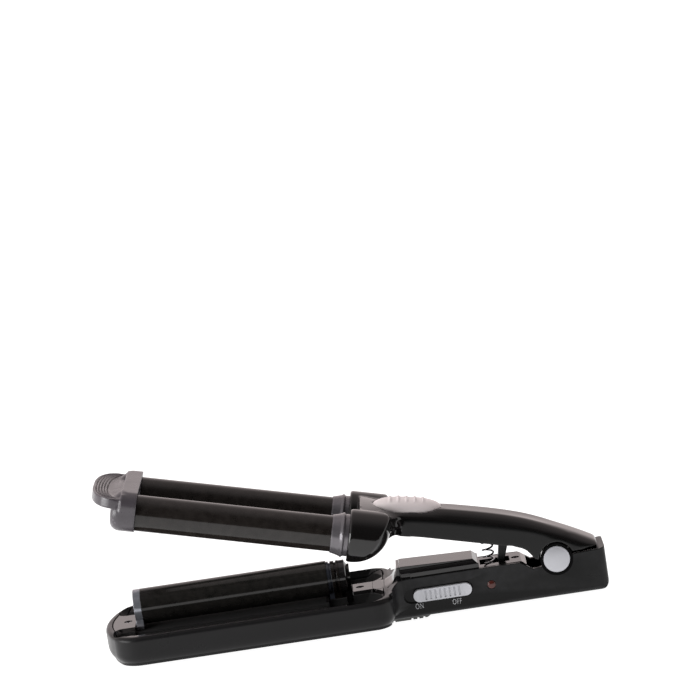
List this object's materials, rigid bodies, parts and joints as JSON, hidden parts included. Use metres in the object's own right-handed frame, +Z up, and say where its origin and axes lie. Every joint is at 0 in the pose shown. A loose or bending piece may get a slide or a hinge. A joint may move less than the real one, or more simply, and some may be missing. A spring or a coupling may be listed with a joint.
{
  "type": "hair waver",
  "caption": "Small handheld hair waver with round barrels on sprung handles, a tray below and a sliding power switch on the side.",
  "frame": {"origin": "middle of the flat face of the grip pad under the lower handle, on which the waver stands", "axes": "+X along the lower arm towards the cord's end, +Y to the far side (the switch is on -Y), +Z up to the upper arm"},
  "size_m": [0.2258, 0.062, 0.0818],
  "materials": {
    "housing": "satin",
    "housing_gloss": "gloss",
    "barrel": "satin ceramic coat",
    "trim": "satin",
    "pad": "silver satin",
    "silver": "silver satin",
    "steel": "plain",
    "spring_steel": "bright",
    "ceramic": "unglazed ceramic",
    "inner_plastic": "moulded",
    "board": "lacquered",
    "lens": "tinted",
    "rubber": "moulded"
  },
  "bodies": {
    "lower_arm": {"lower_housing": "housing", "tray_deck": "housing_gloss", "deck_ramp": "housing_gloss", "deck_screws": "steel", "lower_barrel": "barrel", "lower_front_cap": "trim", "lower_rear_collar": "trim", "lower_barrel_holder": "housing_gloss", "lower_heater": "ceramic", "handle_lid": "housing_gloss", "lid_screw": "steel", "lower_grip_pad": "pad", "switch_body": "inner_plastic", "control_board": "board", "indicator_lens": "lens", "pivot_pin": "steel", "pivot_caps": "silver", "arm_spring": "spring_steel", "cord_bushing": "rubber"},
    "switch_button": {"switch_slider": "silver"},
    "upper_arm": {"upper_housing": "housing_gloss", "upper_cover": "housing", "cover_screws": "steel", "upper_grip_pad": "pad", "upper_barrel_near": "barrel", "upper_barrel_far": "barrel", "upper_collar_near": "trim", "upper_collar_far": "trim", "upper_heater_near": "ceramic", "upper_heater_far": "ceramic", "end_cap": "trim"}
  },
  "joints": [
    {"name": "arm_hinge", "type": "hinge", "parent": "lower_arm", "child": "upper_arm", "pos_m": [0.0715, 0, 0.0185], "axis": [0, -1, 0], "range_deg": [0, 14.5], "stiffness_Nm_per_rad": 1.5, "springref_deg": -8.59, "deforming": ["arm_spring"]},
    {"name": "power_slide", "type": "slide", "parent": "lower_arm", "child": "switch_button", "axis": [-1, 0, 0], "range_m": [0, 0.0038]}
  ]
}
